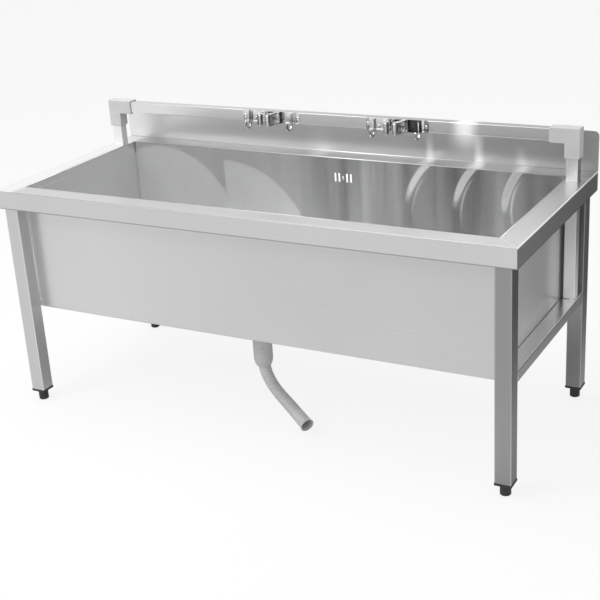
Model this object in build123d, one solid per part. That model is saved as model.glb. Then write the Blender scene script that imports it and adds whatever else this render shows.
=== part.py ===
from build123d import *
import os
from math import atan2, cos, degrees, hypot, pi, radians, sin, tan

# Mop sink of folded stainless sheet on four square legs, in millimetres
# +X runs along the sink, +Y points to the splash, +Z is up, and the origin is on the floor

# Overall sizes
length = 1400.0
depth = 600.0
rim_height = 600.0
splash_height = 100.0
sheet = 1.2

# Folded rim
fascia = 48.0
rim_front = 52.0
rim_side = 56.0
rim_back = 62.0
rim_corner = 3.0
fold_radius = 2.0
lip_gap = 0.8

# Basin
basin_low = 266.0
wall_bend = 8.0
recess_depth = 3.0
recess_flat = 40.0
recess_radius = 52.0

# Splash
splash_corner = 12.0
hem_width = 10.0

# Legs, side stretchers and feet
leg_size = 40.0
leg_corner = 2.5
leg_bottom = 34.0
stretcher_height = 28.0
stretcher_top = 300.0
plug_flange = 6.0
plug_overhang = 1.0
plug_depth = 30.0
plug_clearance = 0.2
foot_radius = 13.0
foot_round = 3.0
foot_gap = 0.3
stud_radius = 5.0
stud_length = 26.0
stud_clearance = 0.05

# Uprights, rail and corner sleeves
post_width = 30.0
post_depth = 25.0
post_corner = 2.0
post_y = 204.5
post_clearance = 0.3
rail_rise = 127.0
rail_height = 30.0
sleeve_wall = 3.4
sleeve_clearance = 0.25
sleeve_reach = 38.0
sleeve_drop = 36.0
sleeve_round = 1.6

# Mop holders, measured from the middle of each one
holder_places = {"a": -150.0, "b": 215.0}
holder_length = 172.0
plate_thickness = 1.5
plate_lip = 8.0
plate_end_radius = 5.0
screw_offset = 80.0
screw_radius = 2.0
screw_head = 4.0
screw_length = 12.0
hook_offset = 62.0
hook_thickness = 3.0
hook_radius = 14.5
hook_strip = 5.0
hook_shank = 8.0
hook_drop = 18.0
hook_tip = 6.0
hook_notch = 0.3
bracket_height = 27.0
bracket_width = 54.0
lug_radius = 3.4
pivot_offset = 22.0
pivot_reach = 16.0
pin_radius = 1.8
pin_clearance = 0.05
pin_head = 3.2
pin_head_height = 1.2
jaw_gap = 0.3
jaw_end_radius = 5.6
jaw_web_offset = 3.8
roller_offset = 12.0
roller_reach = 38.0
roller_radius = 7.5
roller_gap = 0.3
spring_wire = 0.6
spring_radius = 2.8
spring_turns = 5
spring_leg = 11.0

# Waste fitting under the basin
drain_x = -20.0
drain_y = -150.0
waste_radius = 22.5
waste_wall = 1.2
waste_flange = 37.0
waste_flange_height = 1.5
waste_length = 26.0
floor_hole_clearance = 0.5
seal_height = 3.0
locknut_height = 10.0
locknut_radius = 36.0
locknut_notches = 8
body_wall = 1.8
body_length = 52.7
body_clearance = 0.2
body_gap = 0.3
neck_step = 3.0
neck_length = 9.0
outlet_radius = 16.2
outlet_bore = 13.5
outlet_length = 10.0
port_drop = 7.0
nut_length = 38.7
nut_hole_clearance = 1.2
basket_clearance = 1.1
basket_seat_width = 4.5
basket_depth = 15.0
basket_wall = 0.8
basket_holes = 8
basket_hole = 2.5
basket_hole_circle = 12.0
knob_stem = 2.5
knob_radius = 7.0

# Overflow behind the back wall
overflow_x = 32.0
overflow_drop = 54.0
overflow_pitch = 11.5
slot_height = 24.0
slot_width = 5.0
housing_width = 84.0
housing_height = 44.0
housing_depth = 26.0
housing_wall = 2.0
housing_seal = 2.0
pipe_radius = 10.0
pipe_wall = 1.6
pipe_bend = 35.0
spigot_clearance = 0.2
spigot_length = 18.0

# Drain hose, as a route of its centre line
hose_radius = 16.0
hose_wall = 2.0
hose_route = [
    (-20.0, -150.0, 187.0),
    (-20.0, -150.0, 156.0),
    (-11.2, -150.0, 125.2),
    (7.3, -151.3, 96.7),
    (32.6, -155.8, 74.4),
    (59.4, -165.5, 59.9),
    (85.8, -180.7, 50.5),
]
cuff_length = 48.0
cuff_bore = 14.5
cuff_wall = 1.9
cuff_flare = 1.8
cuff_flare_length = 6.0

# Sizes and places that follow from the ones above
rim_underside = rim_height - sheet
basin_half = length / 2 - rim_side
basin_front = rim_front - depth / 2
basin_back = depth / 2 - rim_back
overflow_z = rim_height - overflow_drop
drain_low = basin_low - recess_depth
throat_end = drain_low - waste_length
port_height = throat_end - port_drop
body_top = drain_low - seal_height - locknut_height - body_gap
body_bottom = body_top - body_length
outlet_end = body_bottom - outlet_length
body_radius = waste_radius + body_clearance + body_wall
neck_radius = body_radius - neck_step
nut_hole = hose_radius + nut_hole_clearance
basket_radius = waste_radius - waste_wall - basket_clearance
basket_flange = waste_radius + basket_seat_width
nut_top = body_bottom - body_gap
nut_bottom = nut_top - nut_length
leg_x = basin_half + sheet + leg_size / 2
leg_y = sheet - basin_front + leg_size / 2
lip = min(rim_side, rim_front) - sheet - leg_size - lip_gap
rail_z = rim_height + rail_rise - rail_height / 2
rail_front = post_y - post_depth / 2
plate_front = rail_front - plate_thickness
pivot_y = plate_front - pivot_reach
roller_y = plate_front - roller_reach
leaf_inside = bracket_height / 2 + jaw_gap


def block(x0, x1, y0, y1, z0, z1):
    """A box between two corners."""
    centre = Pos((x0 + x1) / 2, (y0 + y1) / 2, (z0 + z1) / 2)
    return centre * Box(x1 - x0, y1 - y0, z1 - z0)


def tube(width, breadth, corner, z0, z1):
    """A rectangular tube that stands on Z."""
    inner = RectangleRounded(width - 2 * sheet, breadth - 2 * sheet, corner - sheet)
    return Pos(0, 0, z0) * extrude(RectangleRounded(width, breadth, corner) - inner, z1 - z0)


def turned(*points):
    """A solid of revolution about Z, from (radius, height) points."""
    return revolve(make_face(Plane.XZ * Polyline(*points, close=True)), Axis.Z)


def rod(radius, z0, z1):
    """A round bar along Z."""
    return Pos(0, 0, z0) * extrude(Circle(radius), z1 - z0)


def ring(outer, inner, z0, z1):
    """A round collar along Z."""
    return Pos(0, 0, z0) * extrude(Circle(outer) - Circle(inner), z1 - z0)


def level_edges(part, z):
    """The edges of a part that lie in one level plane."""
    def flat(edge):
        box = edge.bounding_box()
        return abs(box.min.Z - z) < 0.01 and abs(box.max.Z - z) < 0.01
    return part.edges().filter_by(flat)


def rim_frame():
    """Top frame: flat rim, outer fascia and an inward lip, open over the basin and round the uprights."""
    half_x, half_y = length / 2, depth / 2
    fascia_low = rim_height - fascia
    frame = block(-half_x, half_x, -half_y, half_y, fascia_low, rim_height)
    frame = fillet(frame.edges().filter_by(Axis.Z), rim_corner)
    folds = level_edges(frame, rim_height) + level_edges(frame, fascia_low)
    frame = fillet(folds, fold_radius)
    hollow = block(sheet - half_x, half_x - sheet, sheet - half_y, half_y - sheet,
                   fascia_low + sheet, rim_underside)
    frame -= fillet(hollow.edges().filter_by(Axis.Z), rim_corner - sheet)
    frame -= block(lip - half_x, half_x - lip, lip - half_y, half_y - lip, fascia_low, rim_underside)
    frame -= block(-basin_half, basin_half, basin_front, basin_back, fascia_low, rim_height)
    passage = Box(post_width + 2 * post_clearance, post_depth + 2 * post_clearance, 4 * sheet)
    for side in (-1, 1):
        frame -= Pos(side * leg_x, post_y, rim_height) * passage
    return frame


def at_drain(part):
    """A part that is made on Z, moved to the drain's axis."""
    return Pos(drain_x, drain_y, 0) * part


def basin_volume(inset):
    """The basin's outside, or its inside when inset is the sheet thickness."""
    half_x = basin_half + sheet - inset
    front = basin_front - sheet + inset
    back = basin_back + sheet - inset
    low = basin_low + inset
    volume = block(-half_x, half_x, front, back, low, rim_underside)
    volume = fillet(level_edges(volume, low), wall_bend - inset)
    recess_low = drain_low + inset
    recess = turned((0, recess_low), (recess_flat - inset, recess_low), (recess_radius - inset, low),
                    (recess_radius - inset, low + wall_bend), (0, low + wall_bend))
    return volume + at_drain(recess)


def basin():
    """Deep welded basin with a pressed drain recess, and overflow slots in its back wall."""
    tub = basin_volume(0) - basin_volume(sheet)
    tub -= at_drain(rod(waste_radius + floor_hole_clearance, drain_low - sheet, drain_low + 3 * sheet))
    wall_plane = Plane((overflow_x, basin_back - sheet, overflow_z), x_dir=(0, 0, 1), z_dir=(0, 1, 0))
    slot = wall_plane * extrude(SlotOverall(slot_height, slot_width), 3 * sheet)
    for step in (-2, -1, 1, 2):
        tub -= Pos(step * overflow_pitch, 0, 0) * slot
    return tub - wall_plane * extrude(Circle(screw_radius + pin_clearance), 3 * sheet)


def backsplash():
    """Upstand along the back of the rim, with rounded top corners and a hem folded behind its top edge."""
    back = depth / 2 - sheet
    outline = Plane((0, back, rim_height + splash_height / 2), x_dir=(1, 0, 0), z_dir=(0, -1, 0))
    plate = extrude(outline * Rectangle(length, splash_height), sheet)
    corners = plate.edges().filter_by(Axis.Y).group_by(Axis.Z)[-1]
    plate = fillet(corners, splash_corner)
    hem_half = length / 2 - splash_corner
    splash_top = rim_height + splash_height
    return plate + block(-hem_half, hem_half, back, back + sheet, splash_top - hem_width, splash_top)


def leg(side, end):
    """Square tube leg from its foot plug to the underside of the rim."""
    return Pos(side * leg_x, end * leg_y, 0) * tube(leg_size, leg_size, leg_corner, leg_bottom, rim_underside)


def side_stretcher(side):
    """Flat tube between the front and back legs, beside the basin."""
    bar = tube(stretcher_height, leg_size, leg_corner, 0, 2 * leg_y - leg_size)
    turn = Pos(side * leg_x, leg_size / 2 - leg_y, stretcher_top - stretcher_height / 2)
    return turn * Rot(-90, 0, 0) * Rot(0, 0, 90) * bar


def upright(side):
    """Post that stands on the stretcher, passes the rim and ends in the corner sleeve."""
    top = rail_z - rail_height / 2 - sleeve_wall
    return Pos(side * leg_x, post_y, 0) * tube(post_width, post_depth, post_corner, stretcher_top, top)


def rail_half():
    """Half of the rail's length: it ends where the corner sleeve turns down."""
    return leg_x - post_width / 2 - sleeve_clearance - sleeve_wall


def rail():
    """Tube across the back, with the pilot holes of the holder screws."""
    bar = tube(rail_height, post_depth, post_corner, -rail_half(), rail_half())
    bar = Pos(0, post_y, rail_z) * Rot(0, 90, 0) * bar
    for middle in holder_places.values():
        for end in (-1, 1):
            place = Pos(middle + end * screw_offset, rail_front - 1, rail_z)
            bar -= place * Rot(-90, 0, 0) * rod(screw_radius + pin_clearance, 0, 3 * sheet)
    return bar


def corner_sleeve(side):
    """Moulded elbow over the end of the rail and the top of the upright."""
    grow = 2 * (sleeve_wall + sleeve_clearance)
    across = post_width + grow
    thick = post_depth + grow
    tall = rail_height + grow
    top = rail_z + tall / 2
    low = rail_z - tall / 2
    outer = leg_x + across / 2
    turn = leg_x - across / 2
    body = block(turn - sleeve_reach, outer, post_y - thick / 2, post_y + thick / 2, low, top)
    body += block(turn, outer, post_y - thick / 2, post_y + thick / 2, low - sleeve_drop, low + 1)
    body = fillet(body.edges(), sleeve_round)
    gap = sleeve_clearance
    half_depth = post_depth / 2 + gap
    body -= block(turn - sleeve_reach, turn + gap, post_y - half_depth, post_y + half_depth,
                  rail_z - rail_height / 2 - gap, rail_z + rail_height / 2 + gap)
    body -= block(leg_x - post_width / 2 - gap, leg_x + post_width / 2 + gap,
                  post_y - half_depth, post_y + half_depth, low - sleeve_drop, low + gap)
    return body if side > 0 else mirror(body, Plane.YZ)


def foot_plug(side, end):
    """Square plastic plug that closes the leg and holds the levelling foot's thread."""
    size = leg_size + 2 * plug_overhang
    flange = Pos(0, 0, leg_bottom - plug_flange) * extrude(RectangleRounded(size, size, leg_corner), plug_flange)
    flange = fillet(level_edges(flange, leg_bottom - plug_flange), 1.5)
    inside = leg_size - 2 * sheet - 2 * plug_clearance
    stem = Pos(0, 0, leg_bottom) * extrude(RectangleRounded(inside, inside, leg_corner - sheet), plug_depth)
    bore = rod(stud_radius + stud_clearance, leg_bottom - plug_flange, leg_bottom + plug_depth)
    return Pos(side * leg_x, end * leg_y, 0) * (flange + stem - bore)


def foot(side, end):
    """Round levelling foot with its stud."""
    top = leg_bottom - plug_flange - foot_gap
    profile = Plane.XZ * Polyline((0, 0), (foot_radius - foot_round, 0))
    profile += Plane.XZ * RadiusArc((foot_radius - foot_round, 0), (foot_radius, foot_round), -foot_round)
    profile += Plane.XZ * Polyline((foot_radius, foot_round), (foot_radius, top), (stud_radius, top),
                                   (stud_radius, top + stud_length), (0, top + stud_length), (0, 0))
    return Pos(side * leg_x, end * leg_y, 0) * revolve(make_face(profile), Axis.Z)


def holder_plate():
    """Back plate of a mop holder, with a forward lip that the hooks notch."""
    half = holder_length / 2
    face = Plane((0, rail_front, rail_z), x_dir=(1, 0, 0), z_dir=(0, -1, 0))
    plate = extrude(face * RectangleRounded(holder_length, rail_height, plate_end_radius), plate_thickness)
    low = rail_z - rail_height / 2
    lip_half = half - plate_end_radius
    plate += block(-lip_half, lip_half, plate_front - plate_lip, plate_front, low, low + plate_thickness)
    for end in (-1, 1):
        plate -= Pos(end * screw_offset, rail_front + 1, rail_z) * Rot(90, 0, 0) * rod(
            screw_radius + pin_clearance, 0, 3 * plate_thickness)
        edge = hook_thickness / 2 + hook_notch
        plate -= block(end * hook_offset - edge, end * hook_offset + edge,
                       plate_front - plate_lip, plate_front, low, low + plate_thickness)
    return plate


def hooks():
    """The two flat J hooks that are welded on edge to a holder plate."""
    ring_z = rail_z - hook_drop
    ring_y = plate_front - hook_radius
    inner = hook_radius - hook_strip
    side_view = Plane((-hook_thickness / 2, ring_y, ring_z), x_dir=(0, 1, 0), z_dir=(1, 0, 0))
    curl = Circle(hook_radius) - Circle(inner)
    curl -= Pos(0, hook_radius) * Rectangle(3 * hook_radius, 2 * hook_radius)
    shank_height = hook_drop + rail_height / 2 - 2 * plate_thickness
    shank = Pos(hook_radius - hook_shank / 2, shank_height / 2) * Rectangle(hook_shank, shank_height)
    tip_middle = hook_strip / 2 - hook_radius
    tip = Pos(tip_middle, hook_tip / 2) * Rectangle(hook_strip, hook_tip)
    tip += Pos(tip_middle, hook_tip) * Circle(hook_strip / 2)
    hook = extrude(side_view * (curl + shank + tip), hook_thickness)
    return Compound([Pos(end * hook_offset, 0, 0) * hook for end in (-1, 1)])


def lug_outline(side):
    """One folded ear of the bracket, seen from above, with its pin hole."""
    pivot = (side * pivot_offset, pivot_y)
    back = Pos(side * pivot_offset, plate_front - plate_thickness / 2)
    ear = make_hull(((Pos(*pivot) * Circle(lug_radius)).edges()
                     + (back * Rectangle(2 * lug_radius, plate_thickness)).edges()))
    return ear - Pos(*pivot) * Circle(pin_radius + pin_clearance)


def clamp_bracket():
    """Channel with four folded ears that carries the two jaws."""
    low = rail_z - bracket_height / 2
    high = rail_z + bracket_height / 2
    bracket = block(-bracket_width / 2, bracket_width / 2, plate_front - plate_thickness, plate_front, low, high)
    for side in (-1, 1):
        ear = extrude(lug_outline(side), plate_thickness)
        bracket += Pos(0, 0, low) * ear
        bracket += Pos(0, 0, high - plate_thickness) * ear
    return bracket


def jaw_frame(side):
    """Place at a jaw's pivot whose X axis points along the jaw to its roller."""
    run_x = side * (roller_offset - pivot_offset)
    run_y = roller_y - pivot_y
    return Pos(side * pivot_offset, pivot_y, rail_z) * Rot(0, 0, degrees(atan2(run_y, run_x)))


def jaw_length():
    """Distance from a jaw's pivot to its roller."""
    return hypot(pivot_offset - roller_offset, roller_y - pivot_y)


def jaw(side):
    """Swinging jaw: two leaves outside the bracket ears, joined by a web on the handle side."""
    reach = jaw_length()
    outline = make_hull((Circle(jaw_end_radius).edges() + (Pos(reach, 0) * Circle(jaw_end_radius)).edges()))
    hole = Circle(pin_radius + pin_clearance)
    leaf = extrude(outline - hole - Pos(reach, 0) * hole, plate_thickness)
    jaw_part = Pos(0, 0, leaf_inside) * leaf
    jaw_part += Pos(0, 0, -leaf_inside - plate_thickness) * leaf
    web_end = reach - roller_radius - 2 * roller_gap
    near, far = sorted((-side * jaw_web_offset, -side * (jaw_web_offset + plate_thickness)))
    jaw_part += block(2, web_end, near, far, -leaf_inside, leaf_inside)
    return jaw_frame(side) * jaw_part


def roller():
    """Grip roller, bored for its axle and chamfered at both ends."""
    half = leaf_inside - roller_gap
    bore = pin_radius + pin_clearance
    edge = 0.8
    return turned((bore, -half), (roller_radius - edge, -half), (roller_radius, edge - half),
                  (roller_radius, half - edge), (roller_radius - edge, half), (bore, half))


def headed_pin():
    """Pin with a head over each leaf, for the pivots and the roller axles."""
    end = leaf_inside + plate_thickness
    tip = end + pin_head_height
    return turned((0, -tip), (pin_head, -tip), (pin_head, -end), (pin_radius, -end),
                  (pin_radius, end), (pin_head, end), (pin_head, tip), (0, tip))


def at_roller(side, part):
    """A part that is made on Z, moved to a roller's axis."""
    return jaw_frame(side) * Pos(jaw_length(), 0, 0) * part


def torsion_spring(side):
    """Close-wound spring on the pivot pin, its turns as a beaded sleeve, with a leg on the web and one on the bracket."""
    coil_half = spring_turns * spring_wire
    inside = spring_radius - spring_wire / 2
    profile = [(inside, -coil_half), (spring_radius, -coil_half)]
    for turn_index in range(spring_turns):
        crest = (2 * turn_index + 1) * spring_wire - coil_half
        profile += [(spring_radius + spring_wire, crest), (spring_radius, crest + spring_wire)]
    coil = turned(*profile, (inside, coil_half))
    leg_radius = spring_wire - 0.1
    leg_rod = extrude(Circle(leg_radius), spring_leg)
    inner_leg = Pos(0, -side * spring_radius, coil_half - spring_wire) * Rot(0, 90, 0) * leg_rod
    spring = jaw_frame(side) * (coil + inner_leg)
    back_length = pivot_reach - plate_thickness
    back_leg = Rot(-90, 0, 0) * extrude(Circle(leg_radius), back_length)
    place = Pos(side * (pivot_offset + spring_radius), pivot_y, rail_z + spring_wire - coil_half)
    return spring + place * back_leg


def holder_screws():
    """The four pan-head screws that hold both plates to the rail."""
    dome = turned((0, -screw_length), (screw_radius, -screw_length), (screw_radius, 0), (screw_head, 0),
                  (screw_head, 1.2), (screw_head - 1.4, 2.3), (0, 2.6))
    screws = []
    for middle in holder_places.values():
        for end in (-1, 1):
            screws.append(Pos(middle + end * screw_offset, plate_front, rail_z) * Rot(90, 0, 0) * dome)
    return Compound(screws)


def pivot_pins():
    """The four pivot pins of the jaws."""
    pins = []
    for middle in holder_places.values():
        for side in (-1, 1):
            pins.append(Pos(middle + side * pivot_offset, pivot_y, rail_z) * headed_pin())
    return Compound(pins)


def drain_flange():
    """Steel waste: a flange on the basin floor and a threaded throat through it."""
    floor_top = drain_low + sheet
    top = floor_top + waste_flange_height
    bore = waste_radius - waste_wall
    return at_drain(turned(
        (bore, throat_end), (waste_radius, throat_end), (waste_radius, floor_top), (waste_flange, floor_top),
        (waste_flange, floor_top + 0.5), (waste_flange - 2, top), (bore + 1, top), (bore, top - 1)))


def drain_seal():
    """Rubber ring under the basin floor."""
    inner = waste_radius + body_clearance
    return at_drain(ring(waste_flange, inner, drain_low - seal_height, drain_low))


def drain_locknut():
    """Castellated nut that pulls the waste down on its seal."""
    top = drain_low - seal_height
    nut = ring(locknut_radius, waste_radius + body_clearance, top - locknut_height, top)
    notch = block(locknut_radius - 4, locknut_radius + 1, -4, 4, top - locknut_height, top - 3)
    for step in range(locknut_notches):
        nut -= Rot(0, 0, 360 / locknut_notches * step) * notch
    return at_drain(nut)


def port_turn():
    """Turn about Z, in degrees, from +X to the way the overflow port points."""
    pipe_y = basin_back + sheet + housing_seal + housing_depth / 2
    return degrees(atan2(pipe_y - drain_y, overflow_x - drain_x))


def drain_body():
    """Grey moulded waste body with the overflow port at its back and a threaded neck below."""
    inner = waste_radius + body_clearance
    outlet_top = outlet_end + 4
    body = turned(
        (inner, body_top), (body_radius, body_top), (body_radius, body_bottom), (neck_radius, body_bottom),
        (neck_radius, body_bottom - neck_length), (outlet_radius, body_bottom - neck_length),
        (outlet_radius, outlet_end), (outlet_bore, outlet_end), (outlet_bore, outlet_top), (inner, body_bottom + 8))
    spigot = pipe_radius - pipe_wall - spigot_clearance
    reach = body_radius + 4 + spigot_length
    turn = Rot(0, 0, port_turn()) * Pos(0, 0, port_height) * Rot(0, 90, 0)
    body += turn * (rod(pipe_radius + 1, inner + 1, body_radius + 4) + rod(spigot, inner + 1, reach))
    body -= turn * rod(spigot - pipe_wall, inner - 3, reach)
    boss_place = Rot(0, 0, -60) * Pos(body_radius - 1, 0, body_bottom + 10)
    body += boss_place * Box(4, 12, 9)
    body -= boss_place * Pos(1, 0, 1) * Rot(0, 90, 0) * rod(1.6, 0, 3)
    return at_drain(body)


def hose_nut():
    """Tapered cup nut that holds the hose end under the waste body."""
    inner = neck_radius + body_clearance
    return at_drain(turned(
        (inner, nut_top), (body_radius, nut_top), (body_radius, nut_bottom + 20), (body_radius - 1.2, nut_bottom + 11),
        (body_radius - 3.6, nut_bottom + 4), (nut_hole + 1.6, nut_bottom), (nut_hole, nut_bottom),
        (nut_hole, nut_bottom + 6), (inner, nut_bottom + 14)))


def strainer_basket():
    """Lift-out strainer with a ring of holes in its floor and a knob."""
    seat = drain_low + sheet + waste_flange_height + body_gap
    low = seat - basket_depth
    wall = basket_wall
    basket = turned(
        (0, low), (basket_radius, low), (basket_radius, seat), (basket_flange, seat), (basket_flange, seat + wall),
        (basket_radius - wall, seat + wall), (basket_radius - wall, low + wall), (0, low + wall))
    hole = Pos(basket_hole_circle, 0, low) * rod(basket_hole, -1, 2 * wall)
    for step in range(basket_holes):
        basket -= Rot(0, 0, 360 / basket_holes * step) * hole
    knob_low = seat - 1
    basket += turned((0, low), (knob_stem, low), (knob_stem, knob_low), (knob_radius, knob_low),
                     (knob_radius, knob_low + 1.5), (knob_radius - 2, knob_low + 3.5), (0, knob_low + 3.8))
    return at_drain(basket)


def housing_front():
    """The Y of the overflow housing's open face, behind its seal."""
    return basin_back + sheet + housing_seal


def overflow_housing():
    """White moulded cover that catches the overflow behind the back wall."""
    front = housing_front()
    back = front + housing_depth
    half_x, half_z = housing_width / 2, housing_height / 2
    shell = block(-half_x, half_x, front, back, -half_z, half_z)
    shell = fillet(shell.edges().filter_by(Axis.Y), 8)
    cavity = block(housing_wall - half_x, half_x - housing_wall, front, back - housing_wall,
                   housing_wall - half_z, half_z - housing_wall)
    shell -= fillet(cavity.edges().filter_by(Axis.Y), 8 - housing_wall)
    bore = pipe_radius - pipe_wall - spigot_clearance
    spout = Pos(0, front + housing_depth / 2, 0)
    shell += spout * rod(bore, -half_z - spigot_length, housing_wall - half_z)
    shell -= spout * rod(bore - pipe_wall, -half_z - spigot_length, housing_wall - half_z)
    boss = Pos(0, front, 0) * Rot(-90, 0, 0) * ring(4, screw_radius + pin_clearance, 0, housing_depth - 1)
    return Pos(overflow_x, 0, overflow_z) * (shell + boss)


def overflow_seal():
    """Rubber frame between the back wall and the overflow housing."""
    plane = Plane((overflow_x, basin_back + sheet, overflow_z), x_dir=(-1, 0, 0), z_dir=(0, 1, 0))
    band = 5
    inner = RectangleRounded(housing_width - 2 * band, housing_height - 2 * band, 4)
    return extrude(plane * (RectangleRounded(housing_width, housing_height, 8) - inner), housing_seal)


def overflow_screw():
    """Screw through the middle of the overflow slots into the housing's boss."""
    place = Pos(overflow_x, basin_back, overflow_z) * Rot(90, 0, 0)
    return place * turned((0, -20), (screw_radius, -20), (screw_radius, 0), (screw_head, 0),
                          (screw_head, 0.8), (screw_head - 1.4, 1.8), (0, 2))


def overflow_pipe():
    """Bent pipe from the overflow housing down behind the basin and forward to the waste body."""
    pipe_y = housing_front() + housing_depth / 2
    top = overflow_z - housing_height / 2
    turn = radians(port_turn())
    start_reach = body_radius + 4
    end = (drain_x + start_reach * cos(turn), drain_y + start_reach * sin(turn), port_height)
    path = FilletPolyline((overflow_x, pipe_y, top), (overflow_x, pipe_y, port_height), end, radius=pipe_bend)
    section = Plane((overflow_x, pipe_y, top), z_dir=(0, 0, -1)) * (
        Circle(pipe_radius) - Circle(pipe_radius - pipe_wall))
    return sweep(section, path=path)


def route_radii():
    """The hose's bend at each corner of its route, as large as its two runs allow."""
    points = [Vector(*point) for point in hose_route]
    radii = []
    for before, corner, after in zip(points, points[1:], points[2:]):
        run_in, run_out = corner - before, after - corner
        half_turn = radians(run_in.get_angle(run_out)) / 2
        radii.append(0.45 * min(run_in.length, run_out.length) / tan(half_turn))
    return radii


def drain_hose():
    """Flexible waste hose along its route."""
    radii = route_radii()
    path = FilletPolyline(*hose_route, radius=radii)
    start, below = Vector(*hose_route[0]), Vector(*hose_route[1])
    section = Plane(start, z_dir=below - start) * (Circle(hose_radius) - Circle(hose_radius - hose_wall))
    hose = sweep(section, path=path)
    area = pi * (hose_radius ** 2 - (hose_radius - hose_wall) ** 2)
    print("hose bends", [round(radius) for radius in radii], "length", round(path.length, 1))
    print("hose volume", round(hose.volume), "section times length", round(area * path.length))
    return hose


def hose_cuff():
    """Smooth open end of the hose, with a flared mouth."""
    start, end = Vector(*hose_route[-2]), Vector(*hose_route[-1])
    outer = cuff_bore + cuff_wall
    flare_start = cuff_length - cuff_flare_length
    cuff = turned((cuff_bore, 0), (outer, 0), (outer, flare_start), (outer + cuff_flare, cuff_length),
                  (cuff_bore + cuff_flare, cuff_length), (cuff_bore, flare_start))
    return Plane(end, z_dir=end - start).location * cuff


parts = {
    "rim_frame": rim_frame(),
    "basin": basin(),
    "backsplash": backsplash(),
    "rail": rail(),
    "holder_screws": holder_screws(),
    "jaw_pivot_pins": pivot_pins(),
    "drain_flange": drain_flange(),
    "drain_seal": drain_seal(),
    "drain_locknut": drain_locknut(),
    "drain_body": drain_body(),
    "strainer_basket": strainer_basket(),
    "hose_nut": hose_nut(),
    "drain_hose": drain_hose(),
    "hose_cuff": hose_cuff(),
    "overflow_housing": overflow_housing(),
    "overflow_seal": overflow_seal(),
    "overflow_screw": overflow_screw(),
    "overflow_pipe": overflow_pipe(),
}
for side_name, side in (("left", -1), ("right", 1)):
    parts["side_stretcher_" + side_name] = side_stretcher(side)
    parts["upright_" + side_name] = upright(side)
    parts["corner_sleeve_" + side_name] = corner_sleeve(side)
    for end_name, end in (("front", -1), ("back", 1)):
        corner_name = end_name + "_" + side_name
        parts["leg_" + corner_name] = leg(side, end)
        parts["foot_plug_" + corner_name] = foot_plug(side, end)
        parts["foot_" + corner_name] = foot(side, end)
for holder, middle in holder_places.items():
    place = Pos(middle, 0, 0)
    parts["holder_plate_" + holder] = place * holder_plate()
    parts["holder_hooks_" + holder] = place * hooks()
    parts["clamp_bracket_" + holder] = place * clamp_bracket()
    for side_name, side in (("left", -1), ("right", 1)):
        name = holder + "_" + side_name
        parts["jaw_" + name] = place * jaw(side)
        parts["roller_" + name] = place * at_roller(side, roller())
        parts["roller_axle_" + name] = place * at_roller(side, headed_pin())
        parts["jaw_spring_" + name] = place * torsion_spring(side)

os.makedirs("parts", exist_ok=True)
for name, part in parts.items():
    export_step(part, "parts/" + name + ".step")
print(len(parts), "nodes written")
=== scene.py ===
# %% [markdown]
# # A stainless mop sink
#
# The sink is a long welded tub in a folded frame, on four square legs. A splash stands at its back, and in front of
# the splash a rail carries two holders for mops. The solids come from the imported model, so the work here is on what
# the solids can't show: the grain of the steel, the weld dots, the springs, the ribbed hose, and the light.
#
# Everything is in metres: +X runs along the sink to the right, +Y goes back to the splash, and +Z is up.

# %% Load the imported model
from math import cos, pi, radians, sin

import bmesh
import bpy
from mathutils import Matrix, Vector


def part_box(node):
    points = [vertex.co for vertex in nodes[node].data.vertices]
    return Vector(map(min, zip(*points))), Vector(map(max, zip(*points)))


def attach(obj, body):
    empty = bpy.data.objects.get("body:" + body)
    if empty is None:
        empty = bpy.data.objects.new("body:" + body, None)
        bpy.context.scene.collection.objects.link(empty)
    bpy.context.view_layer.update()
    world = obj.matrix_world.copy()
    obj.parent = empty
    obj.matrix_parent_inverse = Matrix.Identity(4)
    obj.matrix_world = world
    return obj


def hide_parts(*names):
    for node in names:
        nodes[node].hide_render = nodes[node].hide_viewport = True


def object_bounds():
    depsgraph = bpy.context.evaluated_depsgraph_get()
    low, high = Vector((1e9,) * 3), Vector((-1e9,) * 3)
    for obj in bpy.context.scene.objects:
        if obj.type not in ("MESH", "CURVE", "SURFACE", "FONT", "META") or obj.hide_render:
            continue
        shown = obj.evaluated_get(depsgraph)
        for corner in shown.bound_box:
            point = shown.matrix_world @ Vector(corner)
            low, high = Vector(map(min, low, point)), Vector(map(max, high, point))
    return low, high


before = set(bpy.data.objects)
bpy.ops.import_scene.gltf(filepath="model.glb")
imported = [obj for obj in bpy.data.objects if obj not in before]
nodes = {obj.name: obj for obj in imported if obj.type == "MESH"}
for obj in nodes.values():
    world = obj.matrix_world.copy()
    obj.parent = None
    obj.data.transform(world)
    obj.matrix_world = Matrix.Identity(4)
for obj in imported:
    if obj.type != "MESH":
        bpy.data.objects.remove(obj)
cad_low, cad_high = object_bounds()
print(len(nodes), "nodes, box", [round(v, 4) for v in (*cad_low, *cad_high)])

# %% [markdown]
# ## The camera
#
# A photograph's camera can be found again from the edges of a thing whose shape is known. Here the corners of the
# rim, the legs and the splash gave where the camera stood, which way it looked and how long its lens was. It stood
# to the right and about a metre and a half high, turned left, tipped down, and leaned a little to one side. The lean
# is a turn about the line of sight, so it is worked out as a turn of the camera's right and up directions.

# %% The camera
camera_place = Vector((1.45739, -2.54216, 1.42957))
turn_left = radians(29.63)
tip_down = radians(21.44)
lean = radians(-3.6)
focal_pixels = 1208.92
photo_width = 600

ahead = Vector((-sin(turn_left) * cos(tip_down), cos(turn_left) * cos(tip_down), -sin(tip_down)))
level_right = Vector((cos(turn_left), sin(turn_left), 0))
level_up = level_right.cross(ahead)
right = level_right * cos(lean) + level_up * sin(lean)
up = level_up * cos(lean) - level_right * sin(lean)

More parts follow.
